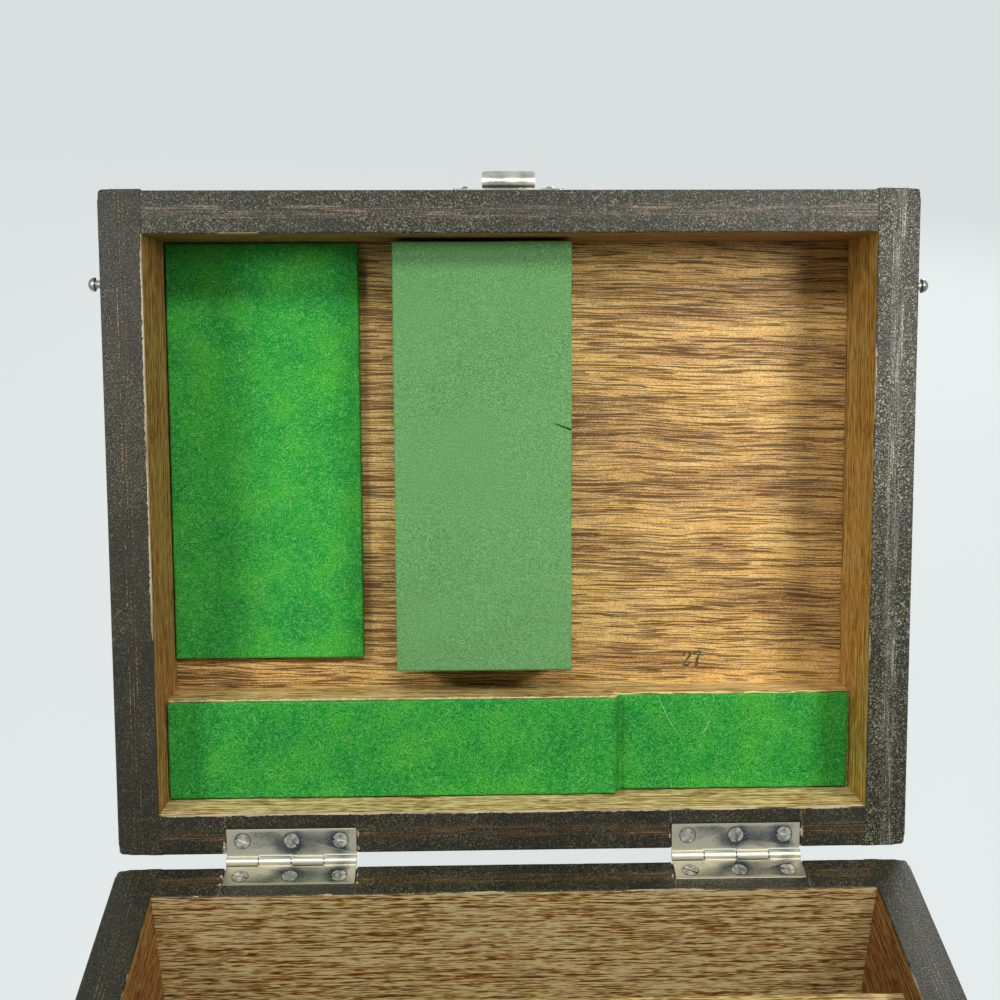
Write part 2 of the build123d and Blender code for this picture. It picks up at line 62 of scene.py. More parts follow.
# Camera
# It stands 0.4 m in front of the open lid, a little above its middle, and looks almost square into it.
camera_place_metres = (-0.0141, -0.2270, 0.3534)
camera_turn_degrees = (64.136, -0.258, -1.504)
lens_mm = 50.4
sensor_mm = 36
nearest_metres = 0.01
scene = bpy.context.scene
scene.view_settings.view_transform = "Standard"
camera = bpy.data.objects.new("camera", bpy.data.cameras.new("camera"))
camera.data.lens = lens_mm
camera.data.sensor_width = sensor_mm
camera.data.clip_start = nearest_metres
camera.location = camera_place_metres
camera.rotation_euler = [math.radians(turn) for turn in camera_turn_degrees]
scene.collection.objects.link(camera)
scene.camera = camera

# Floor and lamps
# A plain pale floor and a backdrop shown as bright as the far floor. A wide soft lamp stands high in front of
# the case, a small one close by at each side of the open lid, and one behind for the back of the lid.
floor_half_metres = 6.0
background = "#e9f0ef"
floor_shade_kept = 0.16
world_strength = 0.035
backdrop_strength = 0.85
# Place, aim and size in metres, spread in degrees, and watts.
lamps = {
    "high_lamp": ((0.0, -0.410, 0.979), (0, 0.13, 0.17), (0.50, 0.20), 180, 4.5),
    "right_lamp": ((0.242, -0.044, 0.360), (0.055, 0.160, 0.158), (0.09, 0.09), 80, 0.17),
    "left_lamp": ((-0.299, -0.033, 0.360), (-0.101, 0.160, 0.156), (0.10, 0.10), 60, 0.09),
    "back_lamp": ((0.35, 0.95, 0.55), (0, 0.13, 0.17), (0.60, 0.60), 180, 5.0),
}


def linear(colour):
    """An sRGB hex colour as linear red, green and blue, with an alpha of one."""
    parts = [int(colour[i:i + 2], 16) / 255 for i in (1, 3, 5)]
    return [c / 12.92 if c <= 0.04045 else ((c + 0.055) / 1.055) ** 2.4 for c in parts] + [1.0]


def add_node(tree, kind, values):
    """Add one node, with its operation after its kind. A socket is linked, hex is a colour, From and To are a
    pair of limits, and the rest are inputs, properties or stops."""
    kind, _, operation = kind.partition(" ")
    made = tree.nodes.new("ShaderNode" + kind)
    if operation:
        made.operation = operation
    for key, value in values.items():
        if isinstance(value, bpy.types.NodeSocket):
            tree.links.new(value, made.inputs[key])
            continue
        if isinstance(value, str) and value.startswith("#"):
            value = linear(value)
        if key == "stops":
            elements = made.color_ramp.elements
            for place, colour in value[2:]:
                elements.new(place)
            for element, (place, colour) in zip(elements, value):
                element.position = place
                element.color = linear(colour)
        elif key in ("From", "To"):
            made.inputs[key + " Min"].default_value, made.inputs[key + " Max"].default_value = value
        elif isinstance(key, int) or key in made.inputs:
            made.inputs[key].default_value = value
        else:
            setattr(made, key, value)
    return made.outputs


def new_material(name):
    """An empty material and its tree, ready for nodes."""
    made = bpy.data.materials.new(name)
    made.use_nodes = True
    made.node_tree.nodes.clear()
    return made, made.node_tree


def seen_directly(tree):
    """1 for what the camera, a reflection or a see-through ray meets first."""
    path = add_node(tree, "LightPath", {})
    seen = 0.0
    for ray in ("Is Camera Ray", "Is Glossy Ray", "Is Transmission Ray"):
        seen = add_node(tree, "Math MAXIMUM", {0: seen, 1: path[ray]})[0]
    return seen


world = bpy.data.worlds.new("studio")
world.use_nodes = True
world.node_tree.nodes.clear()
scene.world = world
lighting = add_node(world.node_tree, "Background", {"Color": background, "Strength": world_strength})
shown = add_node(world.node_tree, "Background", {"Color": background, "Strength": backdrop_strength})
share = seen_directly(world.node_tree)
mixed = add_node(world.node_tree, "MixShader", {0: share, 1: lighting[0], 2: shown[0]})
add_node(world.node_tree, "OutputWorld", {"Surface": mixed[0]})

floor_material, tree = new_material("pale_floor")
plain = add_node(tree, "BsdfDiffuse", {"Color": background})
glow = add_node(tree, "Emission", {"Color": background, "Strength": 1.0})
share = add_node(tree, "Math MULTIPLY", {0: seen_directly(tree), 1: 1 - floor_shade_kept})
mixed = add_node(tree, "MixShader", {0: share[0], 1: plain[0], 2: glow[0]})
add_node(tree, "OutputMaterial", {"Surface": mixed[0]})
floor_mesh = bpy.data.meshes.new("floor")
corners = [(x * floor_half_metres, y * floor_half_metres, 0) for x, y in ((-1, -1), (1, -1), (1, 1), (-1, 1))]
floor_mesh.from_pydata(corners, [], [(0, 1, 2, 3)])
floor_mesh.materials.append(floor_material)
floor = bpy.data.objects.new("floor", floor_mesh)
scene.collection.objects.link(floor)

for name, (place, aim, size, spread, watts) in lamps.items():
    light = bpy.data.lights.new(name, "AREA")
    light.shape = "ELLIPSE"
    light.energy = watts
    light.size, light.size_y = size
    light.spread = math.radians(spread)
    holder = bpy.data.objects.new(name, light)
    holder.location = place
    holder.rotation_euler = (Vector(aim) - Vector(place)).to_track_quat("-Z", "Y").to_euler()
    scene.collection.objects.link(holder)

# Side walls of the body and the lid
# Four 12 mm plywood boards that run the full depth. The outside and the rim have crinkled dark paint, worn
# to bare wood along the inner edge, and the inner face has a golden varnish. The paint's crinkle is too fine
# to show at its real size of about 0.2 mm, so it is drawn coarser. The sparkle of its gloss is painted in
# pale grain colours, with more of it on the front walls and most on the lid's right wall.
edge_round = 0.45
uneven_round = 0.2
corner_round = 1.3
corner_zone = (3.4, 2.2)
joint_round = 0.07
joint_length = 12.2
wall_steps = [(1.8, 0.2, 0.6), (1.4, 0.2, 1.1), (1.4, 0.2, 4.0)]
chip_depth = 0.3
chip_size = 1.6
chipped_stretch = 15
wall_chips = ((0.66, 0.88), (0.55, 0.75))
worn_fade = 8
worn_reach = (0.12, 0.6)
worn_stretch = 14
worn_break = 2.5
worn_ripple = 0.9
seat_lines = np.arange(-1.2, 1.25, 0.15)
seat_jag = 0.5
seat_torn = (1.3, 0.2)
seat_scribed = (0.2, 0.08)
paint_grain = 0.33
paint_grain_depth = 0.09
paint_shine = 0.35
wall_thickness = 12.0
core_from_outside = 5.95
core_half_width = 1.9
core_line_pitch = 1.1
hinge = next(joint for joint in frame["joints"] if joint["name"] == "lid_hinge")
hinge_place = np.array(hinge["pos_m"]) * 1000
lid_turn = np.array(Matrix.Rotation(math.radians(-hinge["range_deg"][0]), 3, hinge["axis"]))


def drawn_places(items, field, body):
    """The places of a mesh's vertices or faces as drawn closed: those of the lid are turned back."""
    flat = np.empty(3 * len(items), np.float32)
    items.foreach_get(field, flat)
    points = flat.reshape(-1, 3).astype(float) * 1000
    if body == "lid":
        points = (points - hinge_place) @ lid_turn + hinge_place
    return points


def drawn_box(node):
    """The lowest and highest corner of a CAD piece as drawn closed."""
    shape = frame["nodes"][node]
    points = drawn_places(shape.data.vertices, "co", shape["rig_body"])
    return points.min(0), points.max(0)


def smooth_step(low, high, value):
    """0 at low, 1 at high, and 3t^2 - 2t^3 between."""
    t = np.clip((value - low) / (high - low), 0, 1)
    return t * t * (3 - 2 * t)


def lattice_noise(points, size, seed):
    """Smooth noise from 0 to 1: hashed values on a lattice, blended by 3t^2 - 2t^3 between its corners."""
    cell = points / size + 4096.5
    base = np.floor(cell).astype(np.int64)
    t = smooth_step(0, 1, cell - base)
    total = np.zeros(len(points))
    for corner in itertools.product((0, 1), repeat=3):
        key = (base + corner) @ np.array([73856093, 19349663, 83492791]) + seed * 2654435761
        key = ((key ^ (key >> 13)) * 1274126177) & 0xFFFFFFFF
        value = ((key ^ (key >> 15)) & 0xFFFF) / 65535
        total += value * np.prod(np.where(corner, t, 1 - t), axis=1)
    return total


def side_lines(length, near, fine, coarse, both_ends=True):
    """Distances along one side of a block: fine steps as far as near from its ends, coarse ones between."""
    start = np.arange(0, near, fine)
    end = (length - start)[::-1] if both_ends else np.array([length])
    middle_to = length - near if both_ends else length - coarse / 2
    middle = np.linspace(near, middle_to, max(2, round((middle_to - near) / coarse) + 1))
    return np.concatenate([start, middle, end])


def block_grid(lines):
    """The six sides of a block as grids over three lists of positions: points, and outward quads."""
    points, quads, count = [], [], 0
    for axis in range(3):
        first, second = (axis + 1) % 3, (axis + 2) % 3
        u, v = np.meshgrid(lines[first], lines[second], indexing="ij")
        for end in (0, -1):
            face = np.empty((u.size, 3))
            face[:, axis] = lines[axis][end]
            face[:, first] = u.ravel()
            face[:, second] = v.ravel()
            at = count + np.arange(u.size).reshape(u.shape)
            quad = np.stack([at[:-1, :-1], at[1:, :-1], at[1:, 1:], at[:-1, 1:]], -1).reshape(-1, 4)
            quads.append(quad if end else quad[:, ::-1])
            points.append(face)
            count += u.size
    return np.concatenate(points), np.concatenate(quads)


def round_block(points, low, high, radius, chips=0.0, sharp_top=False):
    """Round a block's edges: p' = q + r a / max(|a|, r), where q is p held r inside the block and a = p - q.
    Chips sink it by chip_depth c e, where e goes from 0 to 1 at the middle of a rounded edge. Also gives e
    and the outward direction."""
    r = radius[:, None]
    upper = high - r * np.array([1, 1, 0 if sharp_top else 1])
    held = np.clip(points, low + r, upper)
    away = points - held
    length = np.linalg.norm(away, axis=1, keepdims=True)
    direction = away / np.maximum(length, 1e-9)
    on_round = (length[:, 0] > 0.99 * radius).astype(float)
    edge = on_round * np.clip((1 - np.abs(direction).max(1)) / 0.29, 0, 1)
    reach = r * length / np.maximum(length, r) - (chip_depth * chips * edge)[:, None]
    return held + direction * reach, edge, direction * on_round[:, None]


def chip_noise(points, seed, spots, stretches):
    """Where an edge is chipped, from 0 to 1: in small spots, and only on some stretches of it."""
    chips = smooth_step(*spots, lattice_noise(points, chip_size, seed))
    return chips * smooth_step(*stretches, lattice_noise(points, chipped_stretch, seed + 1))


def add_values(mesh, values):
    """Values at a mesh's points for its material to read: three a point make a vector, and one a number."""
    for key, value in values.items():
        kind, field = ("FLOAT_VECTOR", "vector") if value.ndim == 2 else ("FLOAT", "value")
        layer = mesh.attributes.new(key, kind, "POINT")
        layer.data.foreach_set(field, value.astype(np.float32).ravel())


def add_piece(name, points, quads, body, materials, values, replaced=()):
    """A visible piece on a body: a closed mesh from points drawn in millimetres, with its doubles merged."""
    if body == "lid":
        points = (points - hinge_place) @ lid_turn.T + hinge_place
    mesh = bpy.data.meshes.new(name)
    mesh.vertices.add(len(points))
    mesh.vertices.foreach_set("co", (points / 1000).astype(np.float32).ravel())
    mesh.loops.add(quads.size)
    mesh.loops.foreach_set("vertex_index", quads.astype(np.int32).ravel())
    mesh.polygons.add(len(quads))
    mesh.polygons.foreach_set("loop_start", np.arange(0, quads.size, 4, dtype=np.int32))
    mesh.update(calc_edges=True)
    add_values(mesh, values)
    shape = bmesh.new()
    shape.from_mesh(mesh)
    bmesh.ops.remove_doubles(shape, verts=shape.verts, dist=2e-6)
    bmesh.ops.recalc_face_normals(shape, faces=shape.faces)
    shape.to_mesh(mesh)
    shape.free()
    mesh.shade_smooth()
    for material in materials:
        mesh.materials.append(material)
    piece = bpy.data.objects.new(name, mesh)
    scene.collection.objects.link(piece)
    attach(piece, body)
    if replaced:
        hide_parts(*replaced)
    return piece


def surface(tree, colour, roughness, height, depth, shine=0.5, metal=0.0):
    """The material's output: a shader with a bump of a given depth in millimetres."""
    bump = add_node(tree, "Bump", {"Height": height, "Distance": depth / 1000})
    values = {"Base Color": colour, "Roughness": roughness, "Metallic": metal, "Specular IOR Level": shine}
    shader = add_node(tree, "BsdfPrincipled", {**values, "Normal": bump[0]})
    add_node(tree, "OutputMaterial", {"Surface": shader[0]})


def board_position(tree):
    """The place on a board in millimetres: along it, across it from outside, and in from its rim."""
    return add_node(tree, "Attribute", {"attribute_name": "board"})["Vector"]


def stretched(tree, board, sizes, detail, turn=0.0):
    """Noise whose grain has a given size in millimetres along each direction of the board."""
    scale = tuple(1 / size for size in sizes)
    turned = add_node(tree, "Mapping", {"Vector": board, "Rotation": (0, 0, turn)})
    scaled = add_node(tree, "VectorMath MULTIPLY", {0: turned[0], 1: scale})
    return add_node(tree, "TexNoise", {"Vector": scaled[0], "Scale": 1.0, "Detail": detail})[0]


def tinted(tree, base, tint, value, start, end, most):
    """A base colour with a tint mixed in: none where the value is at the start, and the most at the end."""
    share = add_node(tree, "MapRange", {"Value": value, "From": (start, end), "To": (0, most)})
    return add_node(tree, "MixRGB", {0: share[0], 1: base, 2: tint})[0]


def paint_layers(tree, board, painted_sparkle):
    """Brushed crinkle paint, as on instrument cases: nearly black, with a fine glossy grain and a painted
    sparkle.
    """
    grain = add_node(tree, "TexVoronoi", {"Vector": board, "Scale": 1 / paint_grain})
    cloud = stretched(tree, board, (18, 18, 18), 2.0)
    base = add_node(tree, "ValToRGB", {0: cloud, "stops": [(0.32, "#19170b"), (0.68, "#292614")]})
    sparkle_share = add_node(tree, "MapRange", {"Value": cloud, "From": (0.4, 0.6),
                                          "To": (0.55 * painted_sparkle, painted_sparkle)})
    # Painted highlight: the pale colours of the grain stand in for the glints of the gloss.
    grains = add_node(tree, "ValToRGB", {0: grain["Color"], "stops": [
        (0.3, "#0d0c05"), (0.45, "#242215"), (0.6, "#464330"), (0.75, "#726f58"), (0.92, "#b0ad90")]})
    colour = add_node(tree, "MixRGB", {0: sparkle_share[0], 1: base[0], 2: grains[0]})
    stipple = add_node(tree, "Math MULTIPLY_ADD", {0: grain["Distance"], 1: -1.0, 2: grain["Color"]})[0]
    roughness = add_node(tree, "MapRange", {"Value": cloud, "From": (0.3, 0.7), "To": (0.3, 0.42)})
    return colour[0], roughness[0], stipple


def varnish_layers(tree, board, colours):
    """Varnished plywood: long streaks of grain and short open pores under a warm gloss."""
    streak = stretched(tree, board, (24, 0.7, 0.7), 3.0)
    hair = stretched(tree, board, (4, 0.34, 0.34), 2.0)
    mixed = add_node(tree, "Math ADD", {0: hair, 1: streak})
    base = add_node(tree, "ValToRGB", {0: mixed[0], "stops": list(zip((0.82, 1.0, 1.22), colours))})
    pore = stretched(tree, board, (6, 0.34, 0.34), 0.0)
    return tinted(tree, base[0], "#4a2a0a", pore, 0.62, 0.67, 0.6), hair


def wall_material(name, painted_sparkle, core_colours, line_share, varnish_colours, varnish_half):
    """Painted plywood: paint outside and on the rim, plies that show through it, and varnish inside. The
    varnish ends varnish_half from the middle, so the proud edge of a side board is painted."""
    material, tree = new_material(name)
    board = board_position(tree)
    place = add_node(tree, "SeparateXYZ", {0: board})
    across, up = place["Y"], place["Z"]
    paint, rough, stipple = paint_layers(tree, board, painted_sparkle)
    on_rim = add_node(tree, "MapRange", {"Value": up, "From": (0.9, 0.4)})
    off_core = add_node(tree, "Math SUBTRACT", {0: across, 1: core_from_outside})
    off_core = add_node(tree, "Math ABSOLUTE", {0: off_core[0]})
    in_core = add_node(tree, "MapRange", {"Value": off_core[0],
                                          "From": (core_half_width + 0.3, core_half_width - 0.3)})
    patchy = stretched(tree, board, (18, 3, 3), 2.0)
    patchy = add_node(tree, "MapRange", {"Value": patchy, "From": (0.35, 0.6)})
    groove = stretched(tree, board, (16, 0.34, 0.34), 2.0)
    core_colour = add_node(tree, "ValToRGB", {0: groove, "stops": list(zip((0.36, 0.5, 0.62), core_colours))})
    share = add_node(tree, "MapRange", {"Value": stipple, "To": (0.25, 0.95)})
    for mask in (in_core, on_rim, patchy):
        share = add_node(tree, "Math MULTIPLY", {0: share[0], 1: mask[0]})
    colour = add_node(tree, "MixRGB", {0: share[0], 1: paint, 2: core_colour[0]})
    line = add_node(tree, "Math PINGPONG", {0: off_core[0], 1: core_line_pitch / 2})
    line = add_node(tree, "MapRange", {"Value": line[0], "From": (0.16, 0.05)})
    long_gap = stretched(tree, board, (14, 1.5, 1.5), 1.0)
    broken = stretched(tree, board, (0.7, 0.5, 0.5), 1.0)
    broken = add_node(tree, "Math MULTIPLY_ADD", {0: long_gap, 1: 0.6, 2: broken})
    broken = add_node(tree, "MapRange", {"Value": broken[0], "From": (0.86, 0.96), "To": (0, line_share)})
    for mask in (broken, in_core, on_rim):
        line = add_node(tree, "Math MULTIPLY", {0: line[0], 1: mask[0]})
    colour = add_node(tree, "MixRGB", {0: line[0], 1: colour[0], 2: "#a98a5e"})
    varnish, hair = varnish_layers(tree, board, varnish_colours)
    inner = add_node(tree, "MapRange", {"Value": across,
                                        "From": (wall_thickness - 0.4, wall_thickness - 0.1)})
    below = add_node(tree, "MapRange", {"Value": up, "From": (0.2, 0.45)})
    along = add_node(tree, "Math ABSOLUTE", {0: place["X"]})
    indoors = add_node(tree, "MapRange", {"Value": along[0], "From": (varnish_half, varnish_half - 0.1)})
    for mask in (below, indoors):
        inner = add_node(tree, "Math MULTIPLY", {0: inner[0], 1: mask[0]})
    colour = add_node(tree, "MixRGB", {0: inner[0], 1: colour[0], 2: varnish})
    bare = add_node(tree, "Attribute", {"attribute_name": "bare"})["Fac"]
    torn = stretched(tree, board, (0.9, 0.4, 0.4), 2.0)
    torn = add_node(tree, "Math MULTIPLY_ADD", {0: torn, 1: 0.9, 2: bare})
    tone = add_node(tree, "ValToRGB", {0: groove, "stops": [(0.4, "#a58f72"), (0.6, "#dccfae")]})
    colour = tinted(tree, colour[0], tone[0], torn[0], 0.85, 1.0, 0.9)
    height = add_node(tree, "MixRGB", {0: share[0], 1: stipple, 2: groove})
    height = add_node(tree, "MixRGB", {0: inner[0], 1: height[0], 2: hair})
    rough = add_node(tree, "Math MULTIPLY_ADD", {0: inner[0], 1: 0.35, 2: rough})
    surface(tree, colour, rough[0], height[0], paint_grain_depth, paint_shine)
    return material


def worn_edge(board, width, worn, seed):
    """How bare a rim's inner edge is, from 0 to 1: the paint is off in broken lengths, a + b n wide, with a
    and b in worn_reach. They come more often between the first two values of worn, by its third."""
    start, end, more = worn
    grain = board * (1, 0.2, 0.2)
    often = smooth_step(start - worn_fade, start + worn_fade, board[:, 0])
    often = often * smooth_step(end + worn_fade, end - worn_fade, board[:, 0])
    wear = lattice_noise(grain, worn_stretch, seed) + more * often
    wear = wear + 0.35 * (lattice_noise(grain, worn_break, seed + 3) - 0.5)
    ripple = worn_reach[1] * lattice_noise(grain, worn_ripple, seed + 4)
    reach = worn_reach[0] + ripple * smooth_step(0.6, 1.1, wear)
    from_edge = np.hypot(width - board[:, 1], board[:, 2])
    return smooth_step(reach + 0.2, reach, from_edge) * smooth_step(0.6, 0.8, wear)


def cut_seat(board, bare, seat, seed):
    """Sink a seat into a rim: z' = max(z, depth) as far in as its reach, between jagged ends. Its ends are
    torn bare, and the marks that were scribed for them run on across the rim."""
    start, end, reach, depth = seat
    jag = seat_jag * (lattice_noise(board * (0, 1, 0), 0.9, seed) - 0.35)
    within = (board[:, 0] > start - jag) & (board[:, 0] < end + jag) & (board[:, 1] < reach)
    for side in (start, end):
        off = np.abs(board[:, 0] - side)
        torn = smooth_step(*seat_torn, off) * smooth_step(0.45, 0.7, lattice_noise(board, 0.8, seed + 1))
        torn = torn * (board[:, 1] < reach) * (board[:, 2] < depth)
        scribed = 0.5 * smooth_step(*seat_scribed, off) * (board[:, 1] > reach) * (board[:, 2] < 0.3)
        bare = np.maximum(bare, np.maximum(torn, scribed))
    board[:, 2] = np.where(within, np.maximum(board[:, 2], depth), board[:, 2])
    return bare


def wall(node, outward, worn, seed, material, seats=()):
    """A board of the case in its own measures: along it, across from its outer face, and in from its rim. Its
    edges are eased by edge_round + uneven_round (n - 0.5), more at the corners and less at the joints."""
    low, high = drawn_box(node)
    body = frame["nodes"][node]["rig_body"]
    outward = np.array(outward, float)
    along_way = np.abs(np.cross(outward, (0, 0, 1)))
    in_from_rim = np.array((0, 0, 1 if body == "lid" else -1))
    span = high - low
    size = np.array([span @ along_way, span @ np.abs(outward), span[2]])
    corner = (low + high) / 2 + outward * size[1] / 2 - in_from_rim * size[2] / 2
    lines = [side_lines(size[axis], *wall_steps[axis], both_ends=axis < 2) for axis in range(3)]
    lines[0] = lines[0] - size[0] / 2
    for start, end, reach, depth in seats:
        lines[0] = np.union1d(lines[0], np.concatenate([start + seat_lines, end + seat_lines]))
        lines[1] = np.union1d(lines[1], [reach - 0.03, reach + 0.03])
        lines[2] = np.union1d(lines[2], [depth])
    points, quads = block_grid(lines)
    to_end = size[0] / 2 - np.abs(points[:, 0])
    radius = edge_round + uneven_round * (lattice_noise(points, 9, seed) - 0.5)
    if outward[0]:
        at_corner = smooth_step(*corner_zone, to_end) * smooth_step(*corner_zone, points[:, 1])
        at_joint = smooth_step(joint_length + 0.8, joint_length, to_end) * smooth_step(8, 9, points[:, 1])
    else:
        at_corner = 0
        at_joint = smooth_step(1.2, 0.6, to_end)
    radius = radius + (corner_round - radius) * at_corner
    radius = radius + (joint_round - radius) * at_joint
    chips = chip_noise(points, seed + 1, *wall_chips) * (1 - at_joint)
    board, edge, _ = round_block(points, size * (-0.5, 0, 0), size * (0.5, 1, 1), radius, chips, True)
    bare = 0.6 * smooth_step(0.4, 0.85, chips * edge)
    bare = np.maximum(bare, worn_edge(board, size[1], worn, seed + 3) * (1 - at_joint))
    for seat in seats:
        bare = cut_seat(board, bare, seat, seed + 4)
    drawn = corner + board @ np.array([along_way, -outward, in_from_rim])
    add_piece(node + "_board", drawn, quads, body, [material], {"board": board, "bare": bare}, (node,))


side_varnish_half = -drawn_box("body_front_wall")[0][1] - 0.2
side_paint = wall_material("crinkle_paint_on_side_plywood", 0.3, ("#1c1408", "#33240f", "#4d3a20"), 0.9,
                           ("#6c3a12", "#a65c22", "#c89b58"), side_varnish_half)
# The lid's right wall has a lit copy of this paint: its stronger sparkle, pale core streaks and lighter
# varnish are painted light.
lit_copy_of_side_paint = wall_material("side_plywood_with_painted_light", 1.0, ("#2f2c20", "#77746a", "#dad7c8"), 0.3,
                             ("#9a651c", "#dc9c32", "#ecc878"), side_varnish_half)
wall("body_left_wall", (-1, 0, 0), (-60, 40, 0.1), 11, side_paint)
wall("body_right_wall", (1, 0, 0), (-30, 60, 0.1), 12, side_paint)
wall("lid_left_wall", (-1, 0, 0), (-80, 32, 0.55), 13, side_paint)
wall("lid_right_wall", (1, 0, 0), (-20, 60, 0.08), 14, lit_copy_of_side_paint)

# Front and back walls of the body and the lid
# Plywood boards butted between the side walls. Their core ply runs along the rim with a reddish grain, and
# the back ones have a shallow seat cut for each hinge leaf, with scribed marks and torn ends.
front_varnish_half = drawn_box("body_front_wall")[1][0] + 0.5
seat_end_play = 0.3
seat_back_play = 0.2
seat_depth = 1.0
front_paint = wall_material("crinkle_paint_on_front_plywood", 0.75, ("#1d140c", "#5d4a3c", "#d0bcaa"), 0.6,
                            ("#5a3414", "#9c6630", "#b98e50"), front_varnish_half)
back_paint = wall_material("crinkle_paint_on_back_plywood", 0.4, ("#21170d", "#5c4528", "#a98454"), 0.5,
                           ("#6d4218", "#d8a656", "#f0dca0"), front_varnish_half)


def hinge_seats(body):
    """The seats of the hinge leaves: from and to along the wall, reach from its outer face, and depth."""
    seats = []
    for side in ("left", "right"):
        low, high = drawn_box(f"{side}_hinge_{body}_leaf")
        reach = drawn_box(body + "_back_wall")[1][1] - low[1] + seat_back_play
        seats.append((low[0] - seat_end_play, high[0] + seat_end_play, reach, seat_depth))
    return seats


wall("body_front_wall", (0, -1, 0), (-80, 80, 0.12), 21, front_paint)
wall("body_back_wall", (0, 1, 0), (-60, 60, 0.15), 22, back_paint, hinge_seats("body"))
wall("lid_front_wall", (0, -1, 0), (20, 90, 0.02), 23, front_paint)
wall("lid_back_wall", (0, 1, 0), (-104, 104, 0.4), 24, back_paint, hinge_seats("lid"))

# Bottom panel of the body and top panel of the lid
# Thin mahogany-faced plywood glued over the walls. The outside is painted with them, nearly black, and the
# inner face is clear: golden tan with dark open pores along the grain and darker figure.
panel_edge_round = 1.0
panel_corner_zone = (3.5, 2.5)
panel_steps = [(2.2, 0.25, 2.4), (2.2, 0.25, 2.4), (1.2, 0.2, 1.0)]
panel_chips = ((0.66, 0.85), (0.5, 0.72))
painted_margin = 0.45
pore_thickness = 0.30
pore_wave = 30
pore_wander = 3.0
pore_turn = -0.03
outside_paint, tree = new_material("crinkle_paint")
colour, rough, stipple = paint_layers(tree, board_position(tree), 0.6)
surface(tree, colour, rough, stipple, paint_grain_depth, paint_shine)

mahogany, tree = new_material("mahogany_veneer")
board = board_position(tree)
figure = stretched(tree, board, (60, 9, 9), 3.0)
tone = stretched(tree, board, (25, 1.6, 1.6), 3.0)
grain = stretched(tree, board, (0.6, 0.34, 0.34), 2.0)
base = add_node(tree, "ValToRGB", {0: tone, "stops": [(0.3, "#c89853"), (0.5, "#deb166"), (0.72, "#ebc67e")]})
base = tinted(tree, base[0], "#8c5c3a", figure, 0.48, 0.68, 0.6)
base = tinted(tree, base, "#96703a", grain, 0.52, 0.34, 0.55)
base = tinted(tree, base, "#f0d89c", grain, 0.52, 0.7, 0.5)
place = add_node(tree, "SeparateXYZ", {0: board})
# Pores grow denser towards the left: partly the wood's own grain and partly painted shade in the gap between
# the felt and the foam.
leftward_pores_and_shade = add_node(tree, "MapRange", {"Value": place["X"], "From": (-60, 70), "To": (0.038, -0.01)})
bias = add_node(tree, "MapRange", {"Value": figure, "From": (0.3, 0.7), "To": (-0.05, 0.05)})
bias = add_node(tree, "Math ADD", {0: bias[0], 1: leftward_pores_and_shade[0]})
wavy = add_node(tree, "TexNoise", {"Vector": board, "Scale": 1 / pore_wave, "Detail": 1.0})
wander = add_node(tree, "VectorMath MULTIPLY_ADD", {0: wavy["Color"], 1: (0, pore_wander, 0), 2: board})[0]
pores = 0.0
for length, thickness, limit in ((22, pore_thickness, 0.62), (9, 0.9 * pore_thickness, 0.63)):
    dash = stretched(tree, wander, (length, thickness, thickness), 0.0, turn=pore_turn)
    dash = add_node(tree, "Math ADD", {0: dash, 1: bias[0]})
    dash = add_node(tree, "MapRange", {"Value": dash[0], "From": (limit, limit + 0.022)})
    pores = add_node(tree, "Math MAXIMUM", {0: pores, 1: dash[0]})[0]
share = add_node(tree, "Math MULTIPLY", {0: pores, 1: 0.82})
colour = add_node(tree, "MixRGB", {0: share[0], 1: base, 2: "#452508"})
depth = add_node(tree, "Math SUBTRACT", {0: 1.0, 1: pores})
surface(tree, colour[0], 0.5, depth[0], 0.08, 0.3)


def cover(node, inner_side, seed):
    """A panel over the walls. Its inner face is flat, and its outer edges and corners are rounded."""
    low, high = drawn_box(node)
    size = high - low
    half = size / 2
    lines = [side_lines(size[axis], *panel_steps[axis], both_ends=axis < 2) for axis in range(3)]
    points, quads = block_grid([lines[0] - half[0], lines[1] - half[1], lines[2]])
    to_end = half[0] - np.abs(points[:, 0])
    to_side = half[1] - np.abs(points[:, 1])
    at_corner = smooth_step(*panel_corner_zone, to_end) * smooth_step(*panel_corner_zone, to_side)
    radius = panel_edge_round + (corner_round - panel_edge_round) * at_corner
    chips = chip_noise(points, seed, *panel_chips) * (np.minimum(to_end, to_side) < 3)
    board = round_block(points, half * (-1, -1, 0), half * (1, 1, 2), radius, chips, True)[0]
    middle = (low + high) / 2
    drawn = middle + (board - half * (0, 0, 1)) * (1, 1, inner_side)
    body = frame["nodes"][node]["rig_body"]
    piece = add_piece(node + "_board", drawn, quads, body, [outside_paint, mahogany], {"board": board},
                      (node,))
    centres = drawn_places(piece.data.polygons, "center", body)
    inside = np.abs(centres[:, 2] - (middle[2] + inner_side * half[2])) < 0.01
    inside = inside & (np.abs(centres[:, 1] - middle[1]) < half[1] - painted_margin)
    piece.data.polygons.foreach_set("material_index", inside.astype(np.int32))


cover("body_bottom_panel", 1, 31)
cover("lid_panel", -1, 32)

# Stamped number on the panel
# Two plain figures about 4.6 mm high in thin dark green stamping ink, browner where the wood shows through.
# They are drawn as pen strokes, each figure's second one a little thicker, so that no two faces lie level.
stamp_middle = (57.1, 45.9)
stamp_film = 0.03
stamp_slant = 0.06


def two_tone(name, sizes, detail, stops, roughness, depth):
    """A material of two tones that follow one noise, which is its relief too."""
    material, tree = new_material(name)
    noise = stretched(tree, board_position(tree), sizes, detail)
    tone = add_node(tree, "ValToRGB", {0: noise, "stops": stops})
    surface(tree, tone[0], roughness, noise, depth)
    return material


